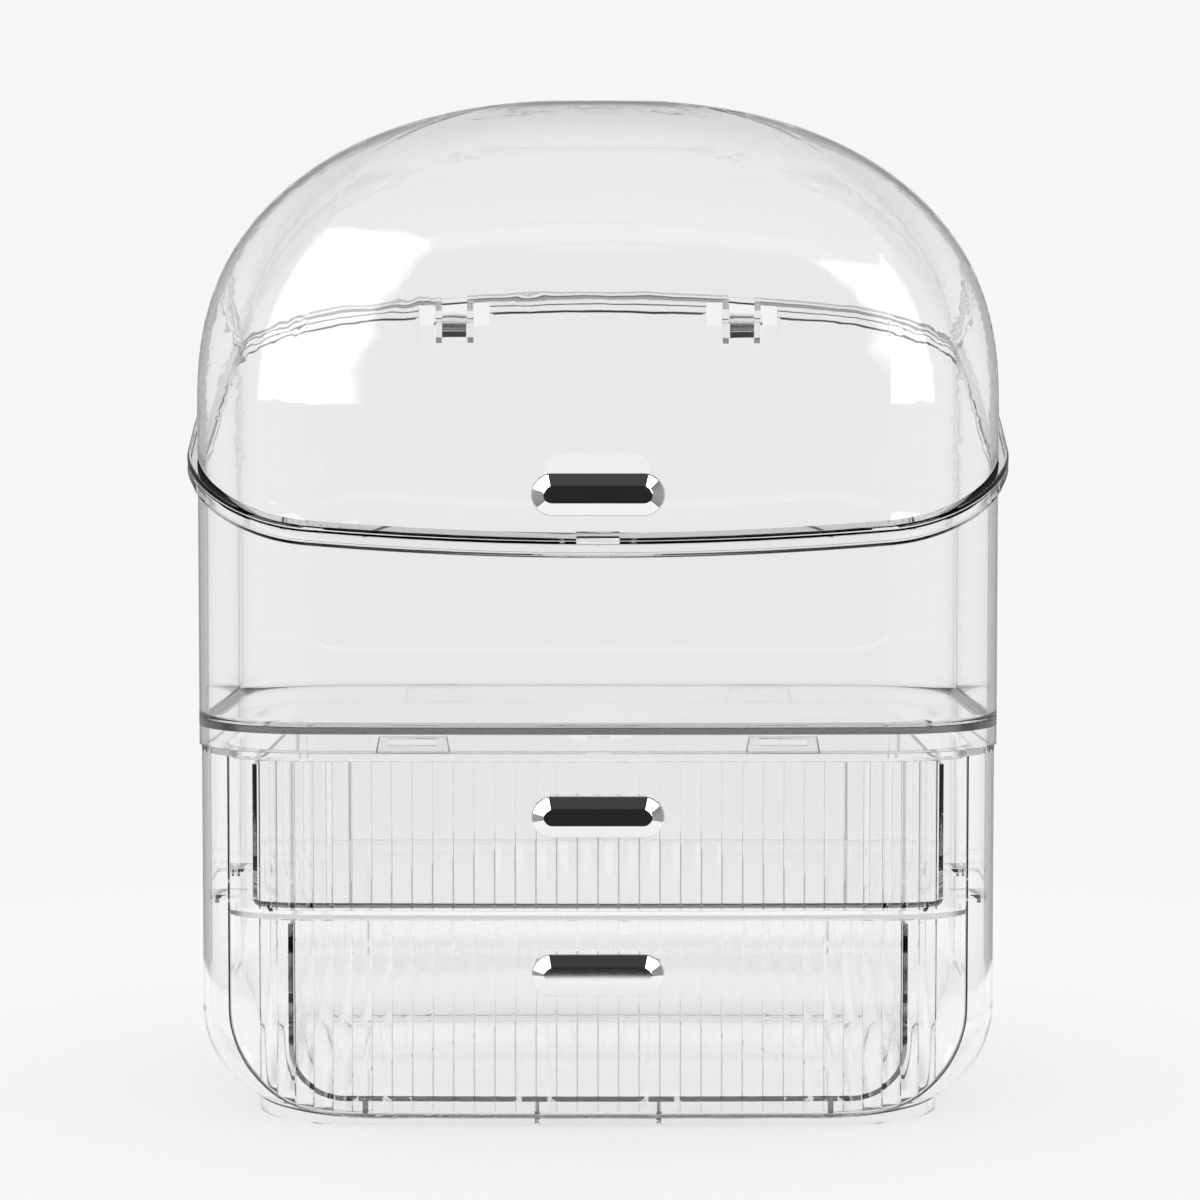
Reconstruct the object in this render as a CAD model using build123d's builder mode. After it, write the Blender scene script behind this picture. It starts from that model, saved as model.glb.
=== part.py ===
from build123d import *
import math
import os

# Clear vanity organizer: a cabinet with two fluted drawers, a top tray that clicks onto
# the cabinet, and a domed lid that swings back on two hinge pins behind the tray.
# Millimetres, +Z up. The front faces -Y. The origin is on the table, under the middle
# of the overall box.

# Body, shared by the tray and the lid
body_width = 276.6
body_depth = 180.0
front_corner_radius = 42.0
rear_corner_radius = 45.0
front_bow_radius = 3000.0
rear_bow_radius = 6000.0

# Cabinet
cabinet_step = 0.8
cabinet_wall = 2.2
cabinet_floor = 2.3
foot_height = 2.0
foot_side_setback = 20.6
foot_setback = 7.0
foot_wall = 2.4
foot_corner_radius = 34.0
foot_rib_offset = 20.6
foot_rib_width = 1.8
foot_rib_clearance = 0.4
bottom_side_radius = 34.0
bottom_end_radius = 9.0
bottom_section_count = 9
seam_height = 127.3
deck_thickness = 2.4
deck_ledge = 7.0
opening_side_margin = 13.1
opening_corner_radius = 35.0
shelf_top_height = 72.7
shelf_thickness = 1.5
shelf_end_gap = 0.3
shelf_front_gap = 0.4
shelf_ear_length = 14.0
shelf_ear_setback = 50.0
ledge_width = 2.2
ledge_thickness = 1.4

# Tray
tray_wall = 2.4
tray_front_height = 71.8
tray_floor_thickness = 2.0
tray_inner_round = 3.0
lug_offset = 62.1
lug_top_width = 23.0
lug_foot_width = 25.2
lug_height = 5.6
lug_thickness = 1.8
lug_gap = 0.5
lug_head_gap = 0.7
lug_chamfer = 0.5
catch_width = 15.6
catch_height = 1.6
catch_depth = 1.5
catch_drop = 0.9
catch_window_gap = 0.4
key_width = 8.1
key_height = 5.6
key_thickness = 1.6
key_gap = 0.3

# Rim: the parting surface between tray and lid
rim_rise = 85.0
rim_middle_share = 0.5824
rim_section_shares = (-1, -0.5, 0, 0.5, 1)
rim_front_smile = 8.0
rim_rear_drop = 11.5
rim_gap = 0.3
flange_width = 3.4
lid_flange_thickness = 1.8
lid_flange_round = 1.2
tray_flange_thickness = 3.0
tray_flange_round = 0.5
flange_lip_width = 2.4
flange_lip_height = 2.3

# Dome
dome_wall = 2.2
dome_rise = 67.8
front_spring_rise = 36.6
side_spring_rise = 45.0
dome_power = 2.37
dome_round_gain_share = 0.85
dome_bow_gain = 40.0
dome_section_count = 14
dome_last_angle = 88.0
thumb_pad_width = 14.4
thumb_pad_rise = 0.6
thumb_pad_margin = 0.5

# Hinges
hinge_offset = 55.2
hinge_drop = 6.2
hinge_setback = 4.4
pin_radius = 1.2
pin_fit = 0.04
pin_head_radius = 2.0
pin_head_thickness = 0.8
pin_end_gap = 0.1
barrel_radius = 2.4
barrel_length = 9.3
leg_thickness = 2.3
leg_gap = 0.3
leg_radius = 3.4
leg_tail = 9.0
notch_width = 27.4
notch_drop = 2.4
slot_gap = 0.5
cheek_thickness = 1.2
cheek_reach = 1.6
cheek_length = 9.0

# Drawers
panel_side_gap = 1.6
panel_thickness = 2.0
panel_gap = 0.5
panel_bottom_gap = 1.6
reed_margin = 9.4
reed_height = 0.5
reed_groove_width = 0.5
reed_groove_depth = 0.35
reeds_each_side = 17
even_reeds_each_side = 8
reed_squeeze_share = 0.0334
upper_panel_lift = 1.3
upper_panel_corner_radius = 3.0
tub_wall = 1.6
tub_floor_thickness = 1.8
tub_rear_gap = 10.0
tub_top_drop = 1.5
upper_tub_step = 7.2
upper_tub_lift = 2.0
upper_tub_bottom_radius = 2.6
upper_tub_corner_radius = 14.0
upper_runner_inset = 5.8
upper_runner_width = 1.4
lower_tub_step = 19.1
lower_tub_lift = 4.8
lower_tub_bottom_radius = 19.0
lower_tub_corner_radius = 24.0
inner_runner_offset = 20.6
outer_runner_inset = 25.8
lower_runner_width = 1.8
runner_gap = 0.3
gusset_inset = 14.3
gusset_thickness = 1.1
gusset_depth = 5.0
gusset_height = 35.2

# Handles
handle_length = 44.4
handle_height = 14.1
handle_depth = 9.0
handle_bevel_height = 4.2
handle_bevel_depth = 2.2
handle_edge_round = 0.8
stud_spacing = 24.0
stud_radius = 1.6
stud_gap = 0.08
stud_tail = 1.4
lid_handle_rise = 15.3
upper_handle_drop = 17.7
lower_handle_drop = 17.1

# One overrun for every cut, well past the walls, and one sink that joins pieces of a solid
overrun = 20.0
sink = 0.3

# Places that follow from the sizes, in depth
rear_reach = hinge_setback + leg_radius
overall_depth = handle_depth + body_depth + rear_reach
front_y = handle_depth - overall_depth / 2
rear_y = front_y + body_depth
middle_y = (front_y + rear_y) / 2
pin_y = rear_y + hinge_setback

# In height, from the table up
floor_bottom = foot_height
floor_top = floor_bottom + cabinet_floor
deck_bottom = seam_height - deck_thickness
shelf_bottom = shelf_top_height - shelf_thickness
lower_panel_bottom = floor_top + panel_bottom_gap
lower_panel_top = shelf_bottom - panel_gap
lower_tub_floor = floor_top + lower_tub_lift
lower_tub_top = lower_panel_top - tub_top_drop
upper_panel_bottom = shelf_top_height + upper_panel_lift
upper_panel_top = deck_bottom - panel_gap
upper_tub_floor = shelf_top_height + upper_tub_lift
upper_tub_top = upper_panel_top - tub_top_drop
tray_floor_height = seam_height + lug_height + lug_head_gap
tray_floor_top = tray_floor_height + tray_floor_thickness
rim_front_height = seam_height + tray_front_height
rim_middle_height = rim_front_height + rim_rise * rim_middle_share
rim_rear_height = rim_front_height + rim_rise
front_spring_height = rim_front_height + front_spring_rise
side_spring_height = rim_front_height + side_spring_rise
rear_spring_height = rim_rear_height
dome_top_height = rim_rear_height + dome_rise
hinge_rim_height = rim_rear_height - rim_rear_drop * (2 * hinge_offset / body_width) ** 2
pin_height = hinge_rim_height - hinge_drop
lid_handle_height = rim_front_height + lid_handle_rise
upper_handle_height = upper_panel_top - upper_handle_drop
lower_handle_height = lower_panel_top - lower_handle_drop

# In width, and inwards from the body's outline
foot_width = body_width - 2 * foot_side_setback
opening_width = body_width - 2 * opening_side_margin
panel_width = opening_width - 2 * panel_side_gap
upper_tub_width = panel_width - 2 * upper_tub_step
lower_tub_width = panel_width - 2 * lower_tub_step
upper_runner_offset = upper_tub_width / 2 - upper_runner_inset
outer_runner_offset = lower_tub_width / 2 - outer_runner_inset
gusset_offset = panel_width / 2 - gusset_inset
reed_pitch = (panel_width / 2 - reed_margin) / (reeds_each_side * (1 - reed_squeeze_share))
crown_inset = cabinet_step
cusp_inset = cabinet_step + reed_height
groove_inset = cusp_inset + reed_groove_depth
panel_inset = cusp_inset + panel_thickness


def end_arc(half_width, end_y, inward, radius, bow_radius):
    """Corner centre, touching point and middle of the corner arc on the +X side."""
    bow_y = end_y + inward * bow_radius
    centre_x = half_width - radius
    reach = math.sqrt((bow_radius - radius) ** 2 - centre_x ** 2)
    centre_y = bow_y - inward * reach
    angle = math.asin(centre_x / (bow_radius - radius))
    half_turn = (angle + math.pi / 2) / 2
    touch = (bow_radius * math.sin(angle), bow_y - inward * bow_radius * math.cos(angle))
    middle = (centre_x + radius * math.sin(half_turn), centre_y - inward * radius * math.cos(half_turn))
    return (centre_x, centre_y), touch, middle


def mirrored(point):
    """The same point on the other side of the middle plane."""
    return (-point[0], point[1])


def plan_face(half_width, front, rear, front_radius, rear_radius, front_bow, rear_bow):
    """Plan outline: bowed front and rear, straight sides, four round corners."""
    front_centre, front_touch, front_middle = end_arc(half_width, front, 1, front_radius, front_bow)
    rear_centre, rear_touch, rear_middle = end_arc(half_width, rear, -1, rear_radius, rear_bow)
    side_front = (half_width, front_centre[1])
    side_rear = (half_width, rear_centre[1])
    with BuildSketch() as face:
        with BuildLine():
            ThreePointArc(mirrored(front_touch), (0, front), front_touch)
            ThreePointArc(front_touch, front_middle, side_front)
            Line(side_front, side_rear)
            ThreePointArc(side_rear, rear_middle, rear_touch)
            ThreePointArc(rear_touch, (0, rear), mirrored(rear_touch))
            ThreePointArc(mirrored(rear_touch), mirrored(rear_middle), mirrored(side_rear))
            Line(mirrored(side_rear), mirrored(side_front))
            ThreePointArc(mirrored(side_front), mirrored(front_middle), mirrored(front_touch))
        make_face()
    return face.sketch


def body_face(inset, side_pull=0.0, end_pull=0.0):
    """The body's plan outline, moved inwards by inset, and further at the sides or the ends."""
    return plan_face(
        body_width / 2 - inset - side_pull,
        front_y + inset + end_pull,
        rear_y - inset - end_pull,
        front_corner_radius - inset - end_pull,
        rear_corner_radius - inset - end_pull,
        front_bow_radius - inset,
        rear_bow_radius - inset,
    )


def front_edge_y(x, inset):
    """Where the body's front outline, moved inwards by inset, stands at x."""
    radius = front_corner_radius - inset
    bow_radius = front_bow_radius - inset
    centre, touch, middle = end_arc(body_width / 2 - inset, front_y + inset, 1, radius, bow_radius)
    if abs(x) <= touch[0]:
        return front_y + inset + bow_radius - math.sqrt(bow_radius ** 2 - x ** 2)
    return centre[1] - math.sqrt(radius ** 2 - (abs(x) - centre[0]) ** 2)


def rear_edge_y(x, inset):
    """Where the bowed rear outline, moved inwards by inset, stands at x."""
    bow_radius = rear_bow_radius - inset
    return rear_y - inset - bow_radius + math.sqrt(bow_radius ** 2 - x ** 2)


def plan_prism(face, low, high):
    """A plan outline raised from one height to another."""
    with BuildPart() as prism:
        with BuildSketch(Plane.XY.offset(low)):
            add(face)
        extrude(amount=high - low)
    return prism.part


def block(x_low, x_high, y_low, y_high, z_low, z_high):
    """A plain block between two corners, used for cuts, ribs and tabs."""
    with BuildPart() as plain:
        with BuildSketch(Plane.XY.offset(z_low)):
            with Locations(((x_low + x_high) / 2, (y_low + y_high) / 2)):
                Rectangle(x_high - x_low, y_high - y_low)
        extrude(amount=z_high - z_low)
    return plain.part


def rod(x_low, x_high, y, z, radius):
    """A round rod along X."""
    with BuildPart() as bar:
        with BuildSketch(Plane.YZ.offset(x_low)):
            with Locations((y, z)):
                Circle(radius)
        extrude(amount=x_high - x_low)
    return bar.part


def below_rim(lift):
    """Everything under the parting surface, moved up by lift."""
    reach = body_width / 2 + overrun
    run = body_depth / 2 + overrun
    front_slope = (rim_middle_height - rim_front_height) / (body_depth / 2)
    rear_slope = (rim_rear_height - rim_middle_height) / (body_depth / 2)
    bend = (front_slope - rear_slope) / 2
    with BuildPart() as below:
        for share in rim_section_shares:
            flank_share = (share * reach / (body_width / 2)) ** 2
            front_height = rim_front_height - overrun * (front_slope + bend) + flank_share * rim_front_smile
            middle_height = rim_middle_height + flank_share * (rim_front_smile - rim_rear_drop) / 2
            rear_height = rim_rear_height + overrun * (rear_slope - bend) - flank_share * rim_rear_drop
            with BuildSketch(Plane.YZ.offset(share * reach)):
                with BuildLine():
                    ThreePointArc(
                        (middle_y - run, front_height + lift),
                        (middle_y, middle_height + lift),
                        (middle_y + run, rear_height + lift),
                    )
                    Polyline(
                        (middle_y + run, rear_height + lift),
                        (middle_y + run, 0),
                        (middle_y - run, 0),
                        (middle_y - run, front_height + lift),
                    )
                make_face()
        loft()
    return below.part


def rim_ring(core, width, bottom_lift, top_lift, rounded_side, round_radius):
    """A ring outside a core, from one lift over the parting surface to another.

    Its outer edge is rounded on top where rounded_side is 1, and below where it is -1.
    """
    with BuildPart() as ring:
        with BuildSketch(Plane.XY.offset(rim_front_height - overrun)):
            add(body_face(-width))
        extrude(amount=dome_top_height - rim_front_height)
        add(core, mode=Mode.SUBTRACT)
        add(below_rim(top_lift), mode=Mode.INTERSECT)
        add(below_rim(bottom_lift), mode=Mode.SUBTRACT)
        top_and_bottom = ring.faces().sort_by(SortBy.AREA)[-2:].sort_by(Axis.Z)
        rounded_face = top_and_bottom[-1 if rounded_side > 0 else 0]
        fillet(rounded_face.outer_wire().edges(), round_radius)
    return ring.part


def size_share(height, spring, top):
    """Share of the full half size that a dome section keeps above its spring line."""
    if height <= spring:
        return 1.0
    rise_share = (height - spring) / (top - spring)
    return (1 - rise_share ** dome_power) ** (1 / dome_power)


def corner_share(radius, bow_radius, inset):
    """Share of the room beside the bow that a corner radius takes up at full size."""
    half_width = body_width / 2 - inset
    sag = half_width ** 2 / (2 * (bow_radius - inset))
    return (radius - inset) / (body_depth / 2 - inset - sag)


def dome_face(height, inset):
    """Plan section of the dome at a height, for a skin moved inwards by inset."""
    top = dome_top_height - inset
    side_share = size_share(height, side_spring_height, top)
    half_width = (body_width / 2 - inset) * side_share
    front = middle_y + (front_y + inset - middle_y) * size_share(height, front_spring_height, top)
    rear = middle_y + (rear_y - inset - middle_y) * size_share(height, rear_spring_height, top)
    bow_share = side_share / (1 + dome_bow_gain * side_share * (1 - side_share))
    gain_share = dome_round_gain_share * (1 - side_share)
    radii = []
    for radius, bow_radius in (
        (front_corner_radius, front_bow_radius),
        (rear_corner_radius, rear_bow_radius),
    ):
        full_share = corner_share(radius, bow_radius, inset)
        sag = half_width ** 2 / (2 * (bow_radius - inset) * bow_share)
        radii.append(((rear - front) / 2 - sag) * (full_share + (1 - full_share) * gain_share))
    return plan_face(
        half_width,
        front,
        rear,
        radii[0],
        radii[1],
        (front_bow_radius - inset) * bow_share,
        (rear_bow_radius - inset) * bow_share,
    )


def dome_block(inset):
    """The dome as a solid lump, from under the front rim to its top."""
    low = rim_front_height - overrun
    top = dome_top_height - inset
    heights = [low, (low + front_spring_height) / 2]
    for step in range(dome_section_count):
        angle = math.radians(dome_last_angle * step / (dome_section_count - 1))
        rise_share = math.sin(angle) ** (2 / dome_power)
        heights.append(front_spring_height + (top - front_spring_height) * rise_share)
    with BuildPart() as lump:
        for height in heights:
            with BuildSketch(Plane.XY.offset(height)):
                add(dome_face(height, inset))
        loft()
    return lump.part


def trapezoid_lug(x, outward, face_y):
    """An upright snap lug on the deck, with its catch ridge on the outward face."""
    back_y = face_y - outward * lug_thickness
    ridge_top = seam_height + lug_height - catch_drop
    ridge_end_y = face_y + outward * catch_depth
    with BuildPart() as lug:
        with BuildSketch(Plane.XZ.offset(-max(face_y, back_y))):
            with BuildLine():
                Polyline(
                    (x - lug_foot_width / 2, seam_height - sink),
                    (x + lug_foot_width / 2, seam_height - sink),
                    (x + lug_top_width / 2, seam_height + lug_height),
                    (x - lug_top_width / 2, seam_height + lug_height),
                    close=True,
                )
            make_face()
        extrude(amount=lug_thickness)
        outer_face = lug.faces().filter_by(Axis.Y).sort_by(Axis.Y)[-1 if outward > 0 else 0]
        chamfer(outer_face.edges(), lug_chamfer)
        add(
            block(
                x - catch_width / 2,
                x + catch_width / 2,
                min(face_y - outward * sink, ridge_end_y),
                max(face_y - outward * sink, ridge_end_y),
                ridge_top - catch_height,
                ridge_top,
            )
        )
    return lug.part


def cabinet_block(inset, bottom):
    """The cabinet as a solid lump: straight above, rounded in to a flat bottom."""
    side_radius = bottom_side_radius - inset
    end_radius = bottom_end_radius - inset
    with BuildPart() as lump:
        for step in range(bottom_section_count + 1):
            angle = math.pi / 2 * step / bottom_section_count
            rise = side_radius * (1 - math.cos(angle))
            side_pull = side_radius * (1 - math.sin(angle))
            end_rise = min(rise, end_radius)
            end_pull = end_radius - math.sqrt(end_radius ** 2 - (end_radius - end_rise) ** 2)
            with BuildSketch(Plane.XY.offset(bottom + rise)):
                add(body_face(cabinet_step + inset, side_pull, end_pull))
        loft()
        with BuildSketch(Plane.XY.offset(bottom + side_radius)):
            add(body_face(cabinet_step + inset))
        extrude(amount=seam_height - bottom - side_radius)
    return lump.part


def front_prism(width, bottom, top, corner_radius, y_low, y_high):
    """A front outline with round lower corners, run from one depth to another."""
    with BuildPart() as prism:
        with BuildSketch(Plane.XZ.offset(-y_high)) as outline:
            with Locations((0, (bottom + top) / 2)):
                Rectangle(width, top - bottom)
            fillet(outline.vertices().group_by(Axis.Y)[0], corner_radius)
        extrude(amount=y_high - y_low)
    return prism.part


def cusp_x(index):
    """Where the groove between two reeds stands, closer together towards the panel's ends."""
    past_share = max(0, abs(index) - even_reeds_each_side) / (reeds_each_side - even_reeds_each_side)
    return reed_pitch * index * (1 - reed_squeeze_share * past_share ** 2)


def front_margin(x_start, x_end, inset):
    """A smooth arc of the front outline between two places."""
    x_middle = (x_start + x_end) / 2
    ThreePointArc(
        (x_start, front_edge_y(x_start, inset)),
        (x_middle, front_edge_y(x_middle, inset)),
        (x_end, front_edge_y(x_end, inset)),
    )


def panel_block(bottom, top, corner_radius):
    """A drawer's front panel: reeds and fine grooves outside, smooth inside, round lower corners."""
    half = panel_width / 2
    last_groove = cusp_x(reeds_each_side) + reed_groove_width / 2
    touch_x = end_arc(
        body_width / 2 - panel_inset,
        front_y + panel_inset,
        1,
        front_corner_radius - panel_inset,
        front_bow_radius - panel_inset,
    )[1][0]
    with BuildPart() as panel:
        with BuildSketch(Plane.XY.offset(bottom)):
            with BuildLine():
                front_margin(-half, -last_groove, cusp_inset)
                for index in range(-reeds_each_side, reeds_each_side + 1):
                    x_groove = cusp_x(index)
                    x_low = x_groove - reed_groove_width / 2
                    x_high = x_groove + reed_groove_width / 2
                    Polyline(
                        (x_low, front_edge_y(x_low, cusp_inset)),
                        (x_groove, front_edge_y(x_groove, groove_inset)),
                        (x_high, front_edge_y(x_high, cusp_inset)),
                    )
                    if index < reeds_each_side:
                        x_end = cusp_x(index + 1) - reed_groove_width / 2
                        x_middle = (x_high + x_end) / 2
                        ThreePointArc(
                            (x_high, front_edge_y(x_high, cusp_inset)),
                            (x_middle, front_edge_y(x_middle, crown_inset)),
                            (x_end, front_edge_y(x_end, cusp_inset)),
                        )
                front_margin(last_groove, half, cusp_inset)
                Line((half, front_edge_y(half, cusp_inset)), (half, front_edge_y(half, panel_inset)))
                front_margin(half, touch_x, panel_inset)
                front_margin(touch_x, -touch_x, panel_inset)
                front_margin(-touch_x, -half, panel_inset)
                Line((-half, front_edge_y(half, panel_inset)), (-half, front_edge_y(half, cusp_inset)))
            make_face()
        extrude(amount=top - bottom)
        add(
            front_prism(panel_width, bottom, top, corner_radius, front_y - overrun, middle_y),
            mode=Mode.INTERSECT,
        )
    return panel.part


def tub_block(width, bottom, top, rear, bottom_radius, corner_radius, front_inset):
    """A lump the size of a drawer's tub, with round rear corners and a rounded bottom."""
    with BuildPart() as lump:
        with BuildSketch(Plane.XY.offset(bottom)) as outline:
            with Locations((0, (front_y - overrun + rear) / 2)):
                Rectangle(width, rear - front_y + overrun)
            fillet(outline.vertices().group_by(Axis.Y)[-1], corner_radius)
        extrude(amount=top - bottom)
        low_edges = lump.edges().group_by(Axis.Z)[0]
        front_edge = low_edges.sort_by(Axis.Y)[0]
        fillet(low_edges - ShapeList([front_edge]), bottom_radius)
        add(plan_prism(body_face(front_inset), bottom, top), mode=Mode.INTERSECT)
    return lump.part


def drawer_tub(width, floor, top, bottom_radius, corner_radius):
    """Outer and inner lumps of a drawer's tub."""
    rear = rear_y - tub_rear_gap
    outer = tub_block(width, floor, top, rear, bottom_radius, corner_radius, panel_inset - sink)
    inner = tub_block(
        width - 2 * tub_wall,
        floor + tub_floor_thickness,
        top + overrun,
        rear - tub_wall,
        bottom_radius - tub_floor_thickness,
        corner_radius - tub_wall,
        panel_inset,
    )
    return outer, inner


def stud_holes(height, y_low, y_high):
    """Two round holes through a wall for a handle's studs."""
    with BuildPart() as holes:
        with BuildSketch(Plane.XZ.offset(-y_high)):
            with Locations((-stud_spacing / 2, height), (stud_spacing / 2, height)):
                Circle(stud_radius + stud_gap)
        extrude(amount=y_high - y_low)
    return holes.part


def handle_block(height, seat_y, wall_thickness):
    """A pill-shaped pull, bevelled all round, with two studs that pass through the wall behind it."""
    with BuildPart() as pull:
        with BuildSketch(Plane.XZ.offset(-seat_y)):
            with Locations((0, height)):
                SlotOverall(handle_length, handle_height)
        extrude(amount=handle_depth)
        front_face = pull.faces().sort_by(Axis.Y)[0]
        chamfer(front_face.edges(), handle_bevel_height, handle_bevel_depth, reference=front_face)
        edge_rows = pull.edges().group_by(Axis.Y)
        fillet(edge_rows[0] + edge_rows[2], handle_edge_round)
        with BuildSketch(Plane.XZ.offset(-seat_y - wall_thickness - stud_tail)):
            with Locations((-stud_spacing / 2, height), (stud_spacing / 2, height)):
                Circle(stud_radius)
        extrude(amount=wall_thickness + stud_tail + sink)
    return pull.part


def leg_block(x_low):
    """One hinge leg, from the lid's flange down past the pin."""
    top = hinge_rim_height + rim_gap + lid_flange_thickness - sink
    wall_y = rear_y - dome_wall / 2
    root_z = hinge_rim_height + rim_gap
    neck_y = pin_y - leg_radius
    back_y = pin_y + leg_radius
    tail_z = pin_height - leg_tail + leg_radius
    with BuildPart() as leg:
        with BuildSketch(Plane.YZ.offset(x_low)):
            with BuildLine():
                Polyline(
                    (neck_y, tail_z),
                    (neck_y, pin_height),
                    (wall_y, root_z),
                    (wall_y, top),
                    (rear_y + flange_width - lid_flange_round, top),
                    (back_y, top - leg_radius),
                    (back_y, tail_z),
                )
                ThreePointArc((back_y, tail_z), (pin_y, tail_z - leg_radius), (neck_y, tail_z))
            make_face()
        extrude(amount=leg_thickness)
    return leg.part


def thumb_pad_block():
    """A small raised pad on the front of the lid's flange."""
    top = rim_gap + lid_flange_thickness + thumb_pad_rise
    pad_depth = flange_width - thumb_pad_margin + dome_wall / 2
    with BuildPart() as pad:
        add(
            block(
                -thumb_pad_width / 2,
                thumb_pad_width / 2,
                front_y - flange_width + thumb_pad_margin,
                front_y - flange_width + thumb_pad_margin + pad_depth,
                rim_front_height - overrun,
                rim_front_height + overrun,
            )
        )
        add(below_rim(top), mode=Mode.INTERSECT)
        add(below_rim(top - thumb_pad_rise - sink), mode=Mode.SUBTRACT)
    return pad.part


def knuckle_block(x_low, x_high):
    """The tray's knuckle: a barrel round the pin, on a web that grows out of the wall."""
    wall_y = rear_y - tray_wall
    web_top = pin_height + barrel_radius / 2
    with BuildPart() as knuckle:
        with BuildSketch(Plane.YZ.offset(x_low)):
            with BuildLine():
                Polyline(
                    (wall_y, web_top),
                    (pin_y, web_top),
                    (pin_y, pin_height - barrel_radius),
                    (rear_y, pin_height - barrel_radius - hinge_setback),
                    (wall_y, pin_height - barrel_radius - hinge_setback),
                    close=True,
                )
            make_face()
        extrude(amount=x_high - x_low)
        add(rod(x_low, x_high, pin_y, pin_height, barrel_radius))
        add(rod(x_low, x_high, pin_y, pin_height, pin_radius + pin_fit), mode=Mode.SUBTRACT)
    return knuckle.part


os.makedirs("parts", exist_ok=True)

# Top tray: walls, floor and a skirt that sits on the cabinet, with a flange along the rim
leg_inner = barrel_length / 2 + leg_gap
leg_outer = leg_inner + leg_thickness
lug_front_face = front_edge_y(lug_offset, tray_wall) + lug_gap
lug_rear_face = rear_edge_y(lug_offset, tray_wall) - lug_gap
window_top = seam_height + lug_height - catch_drop + catch_window_gap
window_low = window_top - catch_height - 2 * catch_window_gap
window_half = catch_width / 2 + catch_window_gap
tray_core = plan_prism(body_face(tray_wall / 2), seam_height, dome_top_height + overrun)
lip_bottom = -tray_flange_thickness - flange_lip_height
lip_top = sink - tray_flange_thickness
tray_flange = rim_ring(tray_core, flange_width, -tray_flange_thickness, sink, -1, tray_flange_round)
tray_lip = rim_ring(tray_core, flange_lip_width, lip_bottom, lip_top, -1, tray_flange_round)
with BuildPart() as tray_hollow:
    with BuildSketch(Plane.XY.offset(tray_floor_top)):
        add(body_face(tray_wall))
    extrude(amount=dome_top_height)
    fillet(tray_hollow.edges().group_by(Axis.Z)[0], tray_inner_round)
with BuildPart() as top_tray:
    with BuildSketch(Plane.XY.offset(seam_height)):
        add(body_face(0))
    extrude(amount=dome_top_height - seam_height)
    add(tray_hollow.part, mode=Mode.SUBTRACT)
    with BuildSketch(Plane.XY.offset(seam_height)):
        add(body_face(tray_wall))
    extrude(amount=tray_floor_height - seam_height, mode=Mode.SUBTRACT)
    add(tray_flange)
    add(tray_lip)
    add(below_rim(0), mode=Mode.INTERSECT)
    for side in (-1, 1):
        lug_x = side * lug_offset
        for low_y, high_y in (
            (front_y - overrun, front_y + tray_wall + overrun),
            (rear_y - tray_wall - overrun, rear_y + overrun),
        ):
            add(
                block(lug_x - window_half, lug_x + window_half, low_y, high_y, window_low, window_top),
                mode=Mode.SUBTRACT,
            )
        hinge_x = side * hinge_offset
        notch_low = hinge_x - notch_width / 2
        notch_high = hinge_x + notch_width / 2
        notch_front = rear_y - tray_wall - overrun
        notch_rear = rear_y + flange_width + overrun
        notch_floor = pin_height - notch_drop
        add(
            block(notch_low, notch_high, notch_front, notch_rear, notch_floor, dome_top_height),
            mode=Mode.SUBTRACT,
        )
        for hand in (-1, 1):
            slot_ends = (
                hinge_x + hand * barrel_length / 2,
                hinge_x + hand * (leg_outer + slot_gap),
            )
            slot_floor = pin_height - leg_tail - slot_gap
            add(
                block(min(slot_ends), max(slot_ends), notch_front, notch_rear, slot_floor, dome_top_height),
                mode=Mode.SUBTRACT,
            )
            cheek_ends = (
                hinge_x + hand * notch_width / 2,
                hinge_x + hand * (notch_width / 2 + cheek_thickness),
            )
            add(
                block(
                    min(cheek_ends),
                    max(cheek_ends),
                    rear_y - tray_wall / 2,
                    rear_y + cheek_reach,
                    pin_height - cheek_length,
                    pin_height + notch_drop,
                )
            )
        add(knuckle_block(hinge_x - barrel_length / 2, hinge_x + barrel_length / 2))
    key_half = key_width / 2 + key_gap
    add(
        block(
            -key_half,
            key_half,
            front_y - overrun,
            front_y + tray_wall + key_gap,
            seam_height - overrun,
            seam_height + key_height + key_gap,
        ),
        mode=Mode.SUBTRACT,
    )
top_tray.part.label = "top_tray"
export_step(top_tray.part, "parts/top_tray.step")

# Dome lid: a thin skin over the parting surface, its flange, two hinge legs on each side
lid_flange_top = rim_gap + lid_flange_thickness
lid_core = dome_block(dome_wall / 2)
lid_flange = rim_ring(lid_core, flange_width, rim_gap - sink, lid_flange_top, 1, lid_flange_round)
with BuildPart() as dome_lid:
    add(dome_block(0))
    add(dome_block(dome_wall), mode=Mode.SUBTRACT)
    add(lid_flange)
    add(below_rim(rim_gap), mode=Mode.SUBTRACT)
    add(thumb_pad_block())
    for side in (-1, 1):
        hinge_x = side * hinge_offset
        add(
            block(
                hinge_x - leg_inner,
                hinge_x + leg_inner,
                rear_edge_y(hinge_offset + leg_inner, 0),
                rear_y + flange_width + overrun,
                pin_height,
                rim_rear_height + overrun,
            ),
            mode=Mode.SUBTRACT,
        )
        for leg_x in (hinge_x - leg_outer, hinge_x + leg_inner):
            add(leg_block(leg_x))
        bore_half = notch_width / 2
        add(
            rod(hinge_x - bore_half, hinge_x + bore_half, pin_y, pin_height, pin_radius + pin_fit),
            mode=Mode.SUBTRACT,
        )
    add(stud_holes(lid_handle_height, front_y - overrun, front_y + overrun), mode=Mode.SUBTRACT)
dome_lid.part.label = "dome_lid"
export_step(dome_lid.part, "parts/dome_lid.step")

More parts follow.
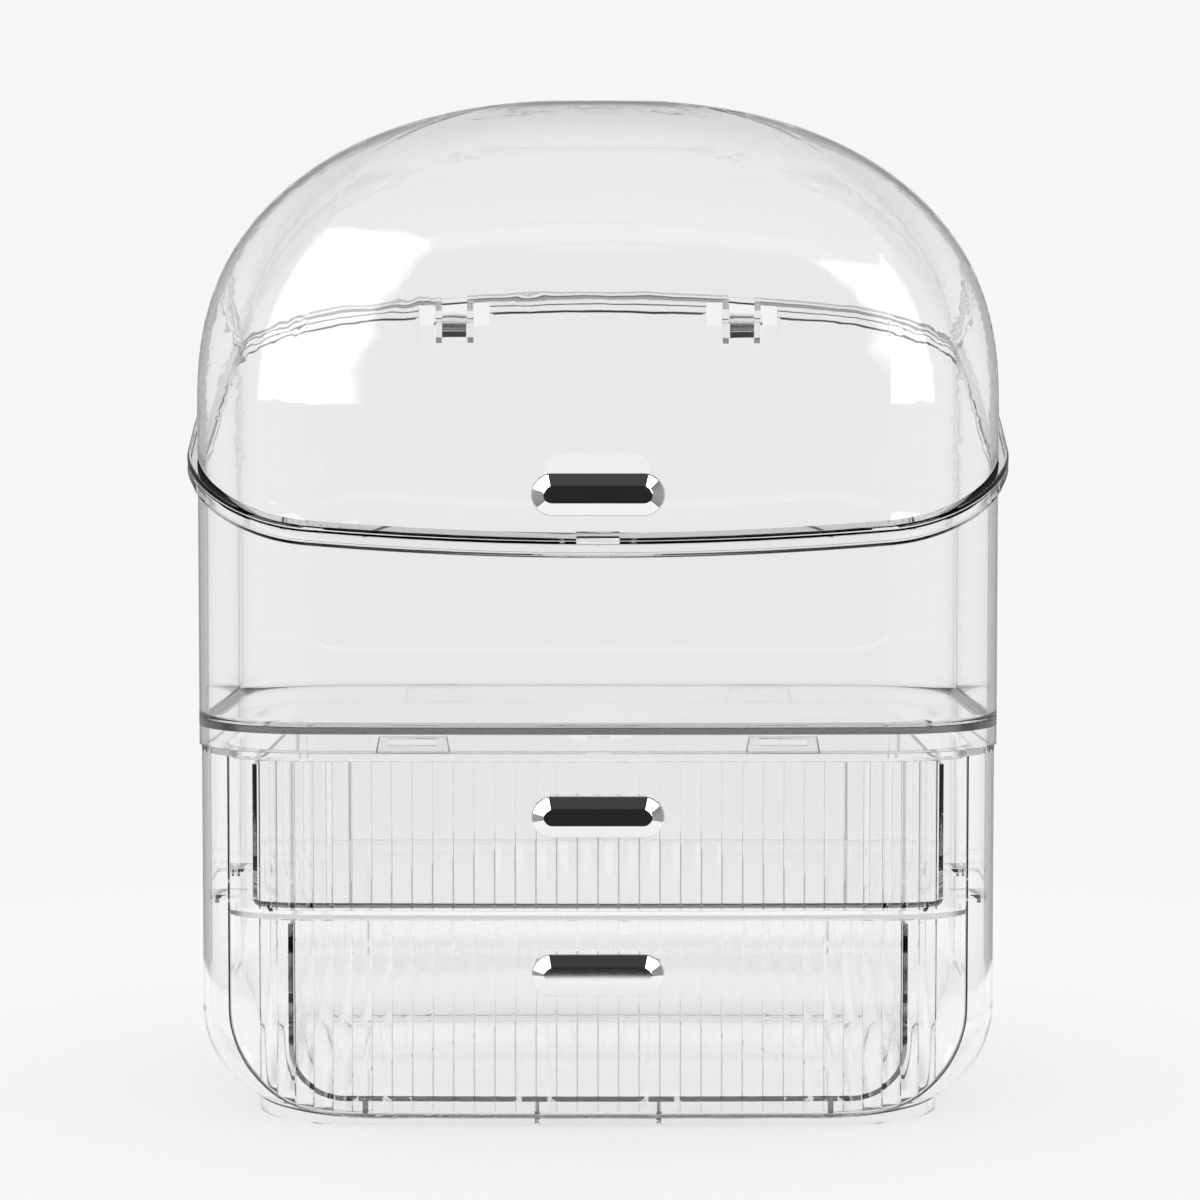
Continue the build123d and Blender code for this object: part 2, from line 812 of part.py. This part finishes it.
# Hinge pins: a headed pin through two legs and the knuckle between them
for side, name in ((-1, "hinge_pin_left"), (1, "hinge_pin_right")):
    hinge_x = side * hinge_offset
    head_x = hinge_x + side * (leg_outer + pin_end_gap)
    head_end_x = head_x + side * pin_head_thickness
    pin_half = leg_outer + pin_end_gap
    with BuildPart() as hinge_pin:
        add(rod(hinge_x - pin_half, hinge_x + pin_half, pin_y, pin_height, pin_radius))
        add(rod(min(head_x, head_end_x), max(head_x, head_end_x), pin_y, pin_height, pin_head_radius))
    hinge_pin.part.label = name
    export_step(hinge_pin.part, "parts/" + name + ".step")

# Drawer cabinet: an open-fronted shell on a foot ring, with a deck ledge for the tray
foot_front = front_y + foot_setback
foot_rear = rear_y - foot_setback
inner_half = body_width / 2 - cabinet_step - cabinet_wall
ear_fronts = (front_y + shelf_ear_setback, rear_y - shelf_ear_setback - shelf_ear_length)
with BuildPart() as drawer_cabinet:
    add(cabinet_block(0, floor_bottom))
    foot_outline = plan_face(
        foot_width / 2,
        foot_front,
        foot_rear,
        foot_corner_radius,
        foot_corner_radius,
        front_bow_radius,
        rear_bow_radius,
    )
    foot_bore = plan_face(
        foot_width / 2 - foot_wall,
        foot_front + foot_wall,
        foot_rear - foot_wall,
        foot_corner_radius - foot_wall,
        foot_corner_radius - foot_wall,
        front_bow_radius,
        rear_bow_radius,
    )
    with BuildSketch():
        add(foot_outline)
        add(foot_bore, mode=Mode.SUBTRACT)
    extrude(amount=bottom_end_radius)
    for side in (-1, 1):
        rib_x = side * foot_rib_offset
        add(
            block(
                rib_x - foot_rib_width / 2,
                rib_x + foot_rib_width / 2,
                foot_front + foot_wall / 2,
                foot_rear - foot_wall / 2,
                foot_rib_clearance,
                floor_bottom + sink,
            )
        )
    add(cabinet_block(cabinet_wall, floor_top), mode=Mode.SUBTRACT)
    with BuildSketch(Plane.XY.offset(deck_bottom)):
        add(body_face(cabinet_step))
        add(body_face(cabinet_step + cabinet_wall + deck_ledge), mode=Mode.SUBTRACT)
    extrude(amount=deck_thickness)
    add(
        front_prism(
            opening_width,
            floor_top,
            deck_bottom,
            opening_corner_radius,
            front_y - overrun,
            front_y + front_corner_radius,
        ),
        mode=Mode.SUBTRACT,
    )
    for side in (-1, 1):
        ledge_ends = (side * (inner_half - ledge_width), side * (inner_half + cabinet_wall / 2))
        for ear_front in ear_fronts:
            add(
                block(
                    min(ledge_ends),
                    max(ledge_ends),
                    ear_front,
                    ear_front + shelf_ear_length,
                    shelf_bottom - ledge_thickness,
                    shelf_bottom,
                )
            )
        add(trapezoid_lug(side * lug_offset, -1, lug_front_face))
        add(trapezoid_lug(side * lug_offset, 1, lug_rear_face))
    add(
        block(
            -key_width / 2,
            key_width / 2,
            front_y + cabinet_step,
            front_y + cabinet_step + key_thickness,
            seam_height - sink,
            seam_height + key_height,
        )
    )
drawer_cabinet.part.label = "drawer_cabinet"
export_step(drawer_cabinet.part, "parts/drawer_cabinet.step")

# Middle shelf: four ears rest on the ledges, and its front edge is flush with the cabinet's face
shelf_width = opening_width - 2 * shelf_front_gap
with BuildPart() as middle_shelf:
    with BuildSketch(Plane.XY.offset(shelf_bottom)):
        add(body_face(cabinet_step))
        with Locations((0, front_y)):
            Rectangle(shelf_width, 2 * front_corner_radius, mode=Mode.INTERSECT)
        add(body_face(cabinet_step + cabinet_wall + shelf_end_gap))
        with Locations((0, middle_y)):
            Rectangle(shelf_width, body_depth, mode=Mode.INTERSECT)
        for ear_front in ear_fronts:
            with Locations((0, ear_front + shelf_ear_length / 2)):
                Rectangle(2 * (inner_half - shelf_end_gap), shelf_ear_length)
    extrude(amount=shelf_thickness)
middle_shelf.part.label = "middle_shelf"
export_step(middle_shelf.part, "parts/middle_shelf.step")

# Upper drawer: a shallow square-bottomed tub behind a reeded panel, on two runners
upper_outer, upper_inner = drawer_tub(
    upper_tub_width,
    upper_tub_floor,
    upper_tub_top,
    upper_tub_bottom_radius,
    upper_tub_corner_radius,
)
with BuildPart() as upper_drawer:
    add(upper_outer)
    add(upper_inner, mode=Mode.SUBTRACT)
    add(panel_block(upper_panel_bottom, upper_panel_top, upper_panel_corner_radius))
    for side in (-1, 1):
        runner_x = side * upper_runner_offset
        add(
            block(
                runner_x - upper_runner_width / 2,
                runner_x + upper_runner_width / 2,
                front_edge_y(upper_runner_offset, panel_inset) + sink,
                rear_y - tub_rear_gap - upper_tub_corner_radius,
                shelf_top_height + runner_gap,
                upper_tub_floor + sink,
            )
        )
    add(stud_holes(upper_handle_height, front_y - overrun, front_y + overrun), mode=Mode.SUBTRACT)
upper_drawer.part.label = "upper_drawer"
export_step(upper_drawer.part, "parts/upper_drawer.step")

# Lower drawer: a deep round-bottomed tub behind a reeded panel, on four runners
lower_outer, lower_inner = drawer_tub(
    lower_tub_width,
    lower_tub_floor,
    lower_tub_top,
    lower_tub_bottom_radius,
    lower_tub_corner_radius,
)
with BuildPart() as lower_drawer:
    add(lower_outer)
    add(lower_inner, mode=Mode.SUBTRACT)
    add(panel_block(lower_panel_bottom, lower_panel_top, opening_corner_radius - panel_side_gap))
    for side in (-1, 1):
        for offset_x in (inner_runner_offset, outer_runner_offset):
            runner_x = side * offset_x
            add(
                block(
                    runner_x - lower_runner_width / 2,
                    runner_x + lower_runner_width / 2,
                    front_edge_y(offset_x, panel_inset) + sink,
                    rear_y - tub_rear_gap - lower_tub_corner_radius,
                    floor_top + runner_gap,
                    lower_tub_floor + sink,
                )
            )
        gusset_x = side * gusset_offset
        gusset_front = front_edge_y(gusset_offset, panel_inset)
        add(
            block(
                gusset_x - gusset_thickness / 2,
                gusset_x + gusset_thickness / 2,
                gusset_front - panel_thickness / 2,
                gusset_front + gusset_depth,
                lower_tub_top - gusset_height,
                lower_tub_top,
            )
        )
    add(stud_holes(lower_handle_height, front_y - overrun, front_y + overrun), mode=Mode.SUBTRACT)
lower_drawer.part.label = "lower_drawer"
export_step(lower_drawer.part, "parts/lower_drawer.step")

# Handles: one on the lid and one on each drawer
panel_depth = reed_height + panel_thickness
for name, height, seat_y, wall_thickness in (
    ("lid_handle", lid_handle_height, front_y, dome_wall),
    ("upper_drawer_handle", upper_handle_height, front_y + cabinet_step, panel_depth),
    ("lower_drawer_handle", lower_handle_height, front_y + cabinet_step, panel_depth),
):
    handle = handle_block(height, seat_y, wall_thickness)
    handle.label = name
    export_step(handle, "parts/" + name + ".step")
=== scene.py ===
# %% [markdown]
# # A clear vanity organizer
#
# The real object is a set of clear plastic mouldings: a domed lid, a tray under it, and a cabinet
# with two fluted drawers. Three bright metal-look pulls are the only parts that aren't clear.
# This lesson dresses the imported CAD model: it gives each moulding its plastic, sets the
# stage as a product photographer would for glass, and places the camera.

# %% Load the frame
import math

import bpy
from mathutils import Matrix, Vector


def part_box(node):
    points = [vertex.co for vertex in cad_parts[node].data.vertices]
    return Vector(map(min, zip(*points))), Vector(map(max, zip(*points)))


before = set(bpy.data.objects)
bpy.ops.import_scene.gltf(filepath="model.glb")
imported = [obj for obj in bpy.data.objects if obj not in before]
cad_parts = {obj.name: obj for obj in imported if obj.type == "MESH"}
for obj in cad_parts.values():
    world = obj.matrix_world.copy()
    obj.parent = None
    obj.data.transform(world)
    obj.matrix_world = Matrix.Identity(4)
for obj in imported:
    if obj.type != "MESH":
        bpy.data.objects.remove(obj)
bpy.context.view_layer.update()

# %% [markdown]
# ## Colours
#
# Colours are picked as sRGB hex values, as a designer would write them. Blender's shaders work
# with linear light, so one function turns a hex value into linear numbers.

# %% Turn a hex colour to linear light
def linear(hex_colour):
    """A hex colour such as #F4F4F5 as four linear numbers, the last one its alpha."""
    levels = [int(hex_colour[place:place + 2], 16) / 255 for place in (1, 3, 5)]
    return tuple(v / 12.92 if v <= 0.04045 else ((v + 0.055) / 1.055) ** 2.4 for v in levels) + (1.0,)


print("white paper in linear light:", [round(c, 3) for c in linear("#F4F4F5")])

# %% [markdown]
# ## One helper for nodes
#
# A material is a small network of nodes. The helper adds one node: a plain value sets a
# socket, and a socket from another node is linked to it.

# %% Add one node
def add_node(tree, kind, inputs=None, **settings):
    """Adds a node, sets its options, and sets or links its inputs."""
    made = tree.nodes.new(kind)
    for name, value in settings.items():
        setattr(made, name, value)
    for name, value in (inputs or {}).items():
        if isinstance(value, bpy.types.NodeSocket):
            tree.links.new(value, made.inputs[name])
        else:
            made.inputs[name].default_value = value
    return made


def new_material(name):
    """An empty node material with its output node."""
    material = bpy.data.materials.new(name)
    material.use_nodes = True
    material.node_tree.nodes.clear()
    return material, material.node_tree


# %% [markdown]
# ## Clear acrylic
#
# The mouldings are clear acrylic (PMMA), moulded in polished steel moulds. It bends light a
# little less than window glass, with an IOR of 1.49, and takes up very little of it, so only long
# ways through a wall look grey. The lid and the tray get a deeper grey than the cabinet, which is
# painted shade: it makes the tray's floor, seen on edge, show as a dark line. The skin is glossy
# with a slight waviness from cooling. Daylight passes through it, so the floor under the box isn't
# dark: scattered light sees a faint tint.

# %% Mix the clear acrylic
MM = 0.001
WAVE_LENGTH = 28 * MM        # slow waves that the plastic cools with
WAVE_DEPTH = 0.004 * MM
ACRYLIC_IOR = 1.49
TINT_FOR_SCATTERED_LIGHT = "#FDFDFD"
GREY_INSIDE = "#101010"
LIGHT_GREY_PER_METRE = 1.5
# The deeper grey below is painted shade, for the dark edge line of the tray's floor
PAINTED_SHADE_GREY_PER_METRE = 9.0


def clear_plastic(name, grey_per_metre):
    """Clear moulded plastic: glass-like skin, waviness, faint grey inside."""
    material, tree = new_material(name)
    place = add_node(tree, "ShaderNodeTexCoord")
    waves = add_node(
        tree,
        "ShaderNodeTexNoise",
        {"Vector": place.outputs["Object"], "Scale": 1 / WAVE_LENGTH, "Detail": 1.0},
    )
    skin = add_node(
        tree,
        "ShaderNodeBump",
        {"Height": waves.outputs["Fac"], "Distance": WAVE_DEPTH, "Strength": 1.0},
    )
    plastic = add_node(
        tree,
        "ShaderNodeBsdfPrincipled",
        {
            "Base Color": linear("#FFFFFF"),
            "Roughness": 0.0,
            "IOR": ACRYLIC_IOR,
            "Transmission Weight": 1.0,
            "Normal": skin.outputs["Normal"],
        },
    )
    way = add_node(tree, "ShaderNodeLightPath")
    scattered = add_node(
        tree,
        "ShaderNodeMath",
        {0: way.outputs["Is Shadow Ray"], 1: way.outputs["Is Diffuse Ray"]},
        operation="MAXIMUM",
    )
    tint = add_node(tree, "ShaderNodeBsdfTransparent", {"Color": linear(TINT_FOR_SCATTERED_LIGHT)})
    both = add_node(
        tree,
        "ShaderNodeMixShader",
        {0: scattered.outputs[0], 1: plastic.outputs[0], 2: tint.outputs[0]},
    )
    inside = add_node(
        tree,
        "ShaderNodeVolumeAbsorption",
        {"Color": linear(GREY_INSIDE), "Density": grey_per_metre},
    )
    add_node(
        tree,
        "ShaderNodeOutputMaterial",
        {"Surface": both.outputs[0], "Volume": inside.outputs[0]},
    )
    return material


acrylic = clear_plastic("clear_acrylic_moulded", LIGHT_GREY_PER_METRE)
# Lid and tray acrylic: its deeper grey is painted shade for the tray floor's dark edge line
painted_shade_acrylic = clear_plastic("clear_acrylic_moulded_painted_shade", PAINTED_SHADE_GREY_PER_METRE)
print("made", acrylic.name, "and", painted_shade_acrylic.name)

# %% [markdown]
# ## Bright plating
#
# The pulls are ABS plated with chromium: a mirror with a little haze from polishing. A metal
# keeps the default IOR, and its colour is what it reflects.

# %% Mix the chromium plating
POLISH_GRAIN = 0.6 * MM      # coarser than the real haze's grain, so that it shows
POLISH_ROUGHNESS = (0.02, 0.05)


def bright_plating(name):
    """Chromium plating over polished ABS."""
    material, tree = new_material(name)
    place = add_node(tree, "ShaderNodeTexCoord")
    haze = add_node(
        tree,
        "ShaderNodeTexNoise",
        {"Vector": place.outputs["Object"], "Scale": 1 / POLISH_GRAIN, "Detail": 2.0},
    )
    roughness = add_node(
        tree,
        "ShaderNodeMapRange",
        {
            "Value": haze.outputs["Fac"],
            "To Min": POLISH_ROUGHNESS[0],
            "To Max": POLISH_ROUGHNESS[1],
        },
    )
    plating = add_node(
        tree,
        "ShaderNodeBsdfPrincipled",
        {
            "Base Color": linear("#FBFBFC"),
            "Metallic": 1.0,
            "Roughness": roughness.outputs["Result"],
        },
    )
    add_node(tree, "ShaderNodeOutputMaterial", {"Surface": plating.outputs[0]})
    return material


chromium = bright_plating("chromium_plating_polished")
print("made", chromium.name)

# %% [markdown]
# ## Dressing the pieces
#
# Every piece of the CAD model is named. The pulls are plated, the lid and the tray are the acrylic
# with the deeper grey of painted shade, and everything else is the lighter one.

# %% Give each moulding and pull its finish
FINISHES = {
    "lid_handle": chromium,
    "upper_drawer_handle": chromium,
    "lower_drawer_handle": chromium,
    # The lid and the tray take the acrylic whose deeper grey is painted shade
    "dome_lid": painted_shade_acrylic,
    "top_tray": painted_shade_acrylic,
}
for name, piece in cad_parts.items():
    piece.data.materials.clear()
    piece.data.materials.append(FINISHES.get(name, acrylic))
print("dressed", len(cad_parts), "pieces")

# %% [markdown]
# ## The stage
#
# Clear things are photographed against white with dark surroundings: the plastic shows the
# white straight through, and its edges and curved skin pick up the dark. The floor is a disc of
# white paper, set a little forward of the box, that takes the box's soft shadow and shows in the
# lower bevel of each pull. Further off, mirrors and bent light see past it into the dark studio,
# while the camera sees one even white.

# %% Lay the floor
BACKDROP = "#F6F6F7"
PAPER = "#FAFAFA"
FLOOR_HALF = 6.0
FLOOR_DROP = 0.05 * MM       # keeps the floor off the foot, so the two never flicker
FADE_START, FADE_END = 0.30, 0.70
PAPER_RADIUS = 0.37
PAPER_MIDDLE = (0, -0.04, 0)
PAPER_EDGE = 0.003


def backdrop_floor(name):
    """White paper near the box, plain white for the camera and nothing for mirrors further off."""
    material, tree = new_material(name)
    place = add_node(tree, "ShaderNodeTexCoord")
    distance = add_node(
        tree, "ShaderNodeVectorMath", {0: place.outputs["Object"]}, operation="LENGTH"
    )
    paper_distance = add_node(
        tree,
        "ShaderNodeVectorMath",
        {0: place.outputs["Object"], 1: PAPER_MIDDLE},
        operation="DISTANCE",
    )
    fade = add_node(
        tree,
        "ShaderNodeMapRange",
        {"Value": distance.outputs["Value"], "From Min": FADE_START, "From Max": FADE_END},
        interpolation_type="SMOOTHSTEP",
    )
    edge = add_node(
        tree,
        "ShaderNodeMapRange",
        {
            "Value": paper_distance.outputs["Value"],
            "From Min": PAPER_RADIUS - PAPER_EDGE,
            "From Max": PAPER_RADIUS + PAPER_EDGE,
        },
    )
    paper = add_node(tree, "ShaderNodeBsdfDiffuse", {"Color": linear(PAPER)})
    plain = add_node(tree, "ShaderNodeEmission", {"Color": linear(BACKDROP)})
    nothing = add_node(tree, "ShaderNodeBsdfTransparent")
    for_camera = add_node(
        tree,
        "ShaderNodeMixShader",
        {0: fade.outputs["Result"], 1: paper.outputs[0], 2: plain.outputs[0]},
    )
    for_mirrors = add_node(
        tree,
        "ShaderNodeMixShader",
        {0: edge.outputs["Result"], 1: paper.outputs[0], 2: nothing.outputs[0]},
    )
    way = add_node(tree, "ShaderNodeLightPath")
    bent = add_node(
        tree,
        "ShaderNodeMath",
        {0: way.outputs["Is Glossy Ray"], 1: way.outputs["Is Transmission Ray"]},
        operation="MAXIMUM",
    )
    sweep = add_node(
        tree,
        "ShaderNodeMixShader",
        {0: bent.outputs[0], 1: for_camera.outputs[0], 2: for_mirrors.outputs[0]},
    )
    add_node(tree, "ShaderNodeOutputMaterial", {"Surface": sweep.outputs[0]})
    return material


floor_mesh = bpy.data.meshes.new("floor")
corners = [(-FLOOR_HALF, -FLOOR_HALF, 0), (FLOOR_HALF, -FLOOR_HALF, 0)]
corners += [(FLOOR_HALF, FLOOR_HALF, 0), (-FLOOR_HALF, FLOOR_HALF, 0)]
floor_mesh.from_pydata(corners, [], [(0, 1, 2, 3)])
floor = bpy.data.objects.new("floor", floor_mesh)
floor.location.z = -FLOOR_DROP
bpy.context.scene.collection.objects.link(floor)
floor_mesh.materials.append(backdrop_floor("white_paper_sweep"))
print("floor side, m:", 2 * FLOOR_HALF, "paper radius, m:", PAPER_RADIUS)

# %% [markdown]
# ## The surroundings
#
# The world stands for the studio. Light that only passed through the plastic sees a ring of
# white cards with dark gaps between them, one card behind the box from every main side, so that
# curved walls get a dark outline. Light that was mirrored on its way sees the studio: one white
# card behind the box with a dark frame round it, grey sides, a dark room behind the camera, and
# two softboxes. The frame is narrow, so the outlines are thin.

# %% Set the directions
world = bpy.data.worlds.new("studio")
bpy.context.scene.world = world
world.use_nodes = True
air = world.node_tree
air.nodes.clear()
look = add_node(air, "ShaderNodeTexCoord").outputs["Generated"]
look_xyz = add_node(air, "ShaderNodeSeparateXYZ", {0: look})
turn = add_node(
    air, "ShaderNodeMath", {0: look_xyz.outputs["X"], 1: look_xyz.outputs["Y"]}, operation="ARCTAN2"
)
turn_size = add_node(air, "ShaderNodeMath", {0: turn.outputs[0]}, operation="ABSOLUTE")
print("nodes for directions:", len(air.nodes))


def fall(value, high, low):
    """A share of 1 up to the first place and 0 from the second on, or the other way round."""
    made = add_node(
        air,
        "ShaderNodeMapRange",
        {"Value": value, "From Min": high, "From Max": low, "To Min": 1.0, "To Max": 0.0},
        interpolation_type="SMOOTHSTEP",
    )
    return made.outputs["Result"]


def combine(first, second, operation):
    """Two values joined by one operation."""
    return add_node(air, "ShaderNodeMath", {0: first, 1: second}, operation=operation).outputs[0]


def mixed_colour(share, first, second):
    """A colour mix in the world: first at a share of 0, second at 1."""
    made = air.nodes.new("ShaderNodeMix")
    made.data_type = "RGBA"
    air.links.new(share, made.inputs["Factor"])
    for socket, value in ((made.inputs[6], first), (made.inputs[7], second)):
        if isinstance(value, bpy.types.NodeSocket):
            air.links.new(value, socket)
        else:
            socket.default_value = value
    return made.outputs[2]


def grey(level):
    """A neutral colour in linear light."""
    return (level, level, level, 1)


# %% [markdown]
# ## The white cards
#
# A card's share of the sky falls off softly at its sides and its top. Angles are turns from the
# middle of a card, and tops are heights of a direction of length 1.

# %% Stand up the white cards
CARD_SPACING = math.radians(45)
CARD_EDGES = (math.radians(12), math.radians(19))
CARD_TOPS = (math.sin(math.radians(11)), math.sin(math.radians(19)))
CARD_LEVEL = 0.98
GAP_LEVEL = 0.28

card_height = fall(look_xyz.outputs["Z"], *CARD_TOPS)
off_card = combine(turn_size.outputs[0], CARD_SPACING / 2, "PINGPONG")
on_cards = combine(fall(off_card, *CARD_EDGES), card_height, "MULTIPLY")
on_back_card = combine(fall(turn_size.outputs[0], *CARD_EDGES), card_height, "MULTIPLY")
seen_through = mixed_colour(on_cards, grey(GAP_LEVEL), grey(CARD_LEVEL))
print("white cards in the ring:", round(2 * math.pi / CARD_SPACING))

# %% [markdown]
# ## The studio in mirrors
#
# Each region is laid over the one before: grey sides, the dark room behind the camera, the dark
# ceiling, the frame round the back card, and the back card itself.

# %% Darken the studio for mirrors
SIDE_LEVEL = 0.50
OVERHEAD_LEVEL = 0.06
OVERHEAD_HEIGHTS = (0.85, 0.5)
BEHIND_CAMERA_LEVEL = 0.02
BEHIND_CAMERA_EDGES = (math.radians(150), math.radians(105))
FRAME_EDGES = (math.radians(20), math.radians(29))
FRAME_TOPS = (math.sin(math.radians(22)), math.sin(math.radians(31)))

in_frame = combine(
    fall(turn_size.outputs[0], *FRAME_EDGES), fall(look_xyz.outputs["Z"], *FRAME_TOPS), "MULTIPLY"
)
behind_camera = fall(turn_size.outputs[0], *BEHIND_CAMERA_EDGES)
overhead = fall(look_xyz.outputs["Z"], *OVERHEAD_HEIGHTS)
in_mirror = mixed_colour(behind_camera, grey(SIDE_LEVEL), grey(BEHIND_CAMERA_LEVEL))
in_mirror = mixed_colour(overhead, in_mirror, grey(OVERHEAD_LEVEL))
in_mirror = mixed_colour(in_frame, in_mirror, grey(GAP_LEVEL))
in_mirror = mixed_colour(on_back_card, in_mirror, grey(CARD_LEVEL))
print("studio nodes so far:", len(air.nodes))

# %% [markdown]
# ## Two softboxes
#
# Large softboxes stand in front, left and right. The dome's round corners mirror them as two
# leaning white windows. Each is drawn on the world between its corners, so that it shows in
# mirrors only and leaves the floor evenly white. Only the front skin shows it: to the walls
# further in, a real softbox would stand somewhere else. So the ray may be mirrored once, and
# bent on its way in and out of one wall. A corner is a turn from behind the camera, with plus to
# the right, and a rise above the horizon.

# %% Draw the softboxes
SOFTBOX_LEVEL = 3.0
SOFTBOX_EDGE = 0.004
MOST_MIRRORS, MOST_BENDS = 1, 2
LEFT_SOFTBOX = ((-18.0, 53.4), (-51.6, 68.7), (-55.0, 3.0), (-7.0, 2.7), (-8.3, 21.0))
RIGHT_SOFTBOX = ((18.8, 50.0), (38.0, 59.8), (51.3, 2.6), (8.5, 2.6), (9.3, 18.5))


def direction(turn_degrees, rise_degrees):
    """The way from the dome to a place in the studio, as a unit vector."""
    turn, rise = math.radians(turn_degrees), math.radians(rise_degrees)
    return Vector((math.sin(turn) * math.cos(rise), -math.cos(turn) * math.cos(rise), math.sin(rise)))


def softbox_share(places):
    """1 inside a window of directions between some corners, 0 outside, with a soft edge."""
    ways = [direction(*place) for place in places]
    middle = sum(ways, Vector()).normalized()
    share = None
    for first, second in zip(ways, ways[1:] + ways[:1]):
        side = first.cross(second).normalized()
        if side.dot(middle) < 0:
            side.negate()
        inside = add_node(air, "ShaderNodeVectorMath", {0: look, 1: side}, operation="DOT_PRODUCT")
        inside = fall(inside.outputs["Value"], SOFTBOX_EDGE, -SOFTBOX_EDGE)
        share = inside if share is None else combine(share, inside, "MINIMUM")
    return share


way = add_node(air, "ShaderNodeLightPath")
one_mirror = combine(way.outputs["Glossy Depth"], MOST_MIRRORS + 0.5, "LESS_THAN")
one_wall = combine(way.outputs["Transmission Depth"], MOST_BENDS + 0.5, "LESS_THAN")
front_skin = combine(one_mirror, one_wall, "MULTIPLY")
for box in (LEFT_SOFTBOX, RIGHT_SOFTBOX):
    share = combine(softbox_share(box), front_skin, "MULTIPLY")
    in_mirror = mixed_colour(share, in_mirror, grey(SOFTBOX_LEVEL))
print("softbox corners:", len(LEFT_SOFTBOX) + len(RIGHT_SOFTBOX))

# %% [markdown]
# ## Which light sees what
#
# The camera sees the plain backdrop. Scattered light sees an even white, which lights the paper.
# Bent light sees the ring of cards, until a mirror sends it to the rest of the studio.

# %% Put the studio together
mirrored = combine(way.outputs["Glossy Depth"], 1.0, "MINIMUM")
bent = combine(way.outputs["Is Glossy Ray"], way.outputs["Is Transmission Ray"], "MAXIMUM")
room = mixed_colour(mirrored, seen_through, in_mirror)
room = mixed_colour(bent, grey(1.0), room)
room = mixed_colour(way.outputs["Is Camera Ray"], room, linear(BACKDROP))
glow = add_node(air, "ShaderNodeBackground", {"Color": room, "Strength": 1.0})
add_node(air, "ShaderNodeOutputWorld", {"Surface": glow.outputs[0]})
print("studio nodes:", len(air.nodes))

# %% [markdown]
# ## The camera
#
# The photograph was taken with a long lens, a little above the rim and looking slightly down.

# %% Place the camera
FRAME_PIXELS = 1200
FOCAL_PIXELS = 3450
HORIZON_PIXELS_ABOVE_MIDDLE = 210
SHIFT_PIXELS = 2
SENSOR_WIDTH = 36.0
CAMERA_HEIGHT = 0.249
CAMERA_TO_FRONT = 1.150
FLANGE_WIDTH = 3.4 * MM      # the tray's flange stands this far in front of its wall
BODY_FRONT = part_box("top_tray")[0].y + FLANGE_WIDTH
camera_data = bpy.data.cameras.new("camera")
camera = bpy.data.objects.new("camera", camera_data)
bpy.context.scene.collection.objects.link(camera)
camera_data.sensor_width = SENSOR_WIDTH
camera_data.lens = camera_data.sensor_width * FOCAL_PIXELS / FRAME_PIXELS
camera_data.shift_x = SHIFT_PIXELS / FRAME_PIXELS
camera.location = (0, BODY_FRONT - CAMERA_TO_FRONT, CAMERA_HEIGHT)
camera.rotation_euler.x = math.pi / 2 - math.atan(HORIZON_PIXELS_ABOVE_MIDDLE / FOCAL_PIXELS)
bpy.context.scene.camera = camera
print("lens, mm:", round(camera_data.lens, 1), "camera at", [round(c, 3) for c in camera.location])

# %% [markdown]
# ## How light is followed
#
# Light crosses many walls here, and a wall seen on edge passes it on by many mirrors, so it is
# followed through more bounces than usual.

# %% Set how the picture is worked out
scene = bpy.context.scene
scene.view_settings.view_transform = "Standard"
scene.cycles.max_bounces = 56
scene.cycles.transmission_bounces = 56
scene.cycles.glossy_bounces = 40
scene.cycles.transparent_max_bounces = 48
print("bounces:", scene.cycles.max_bounces)
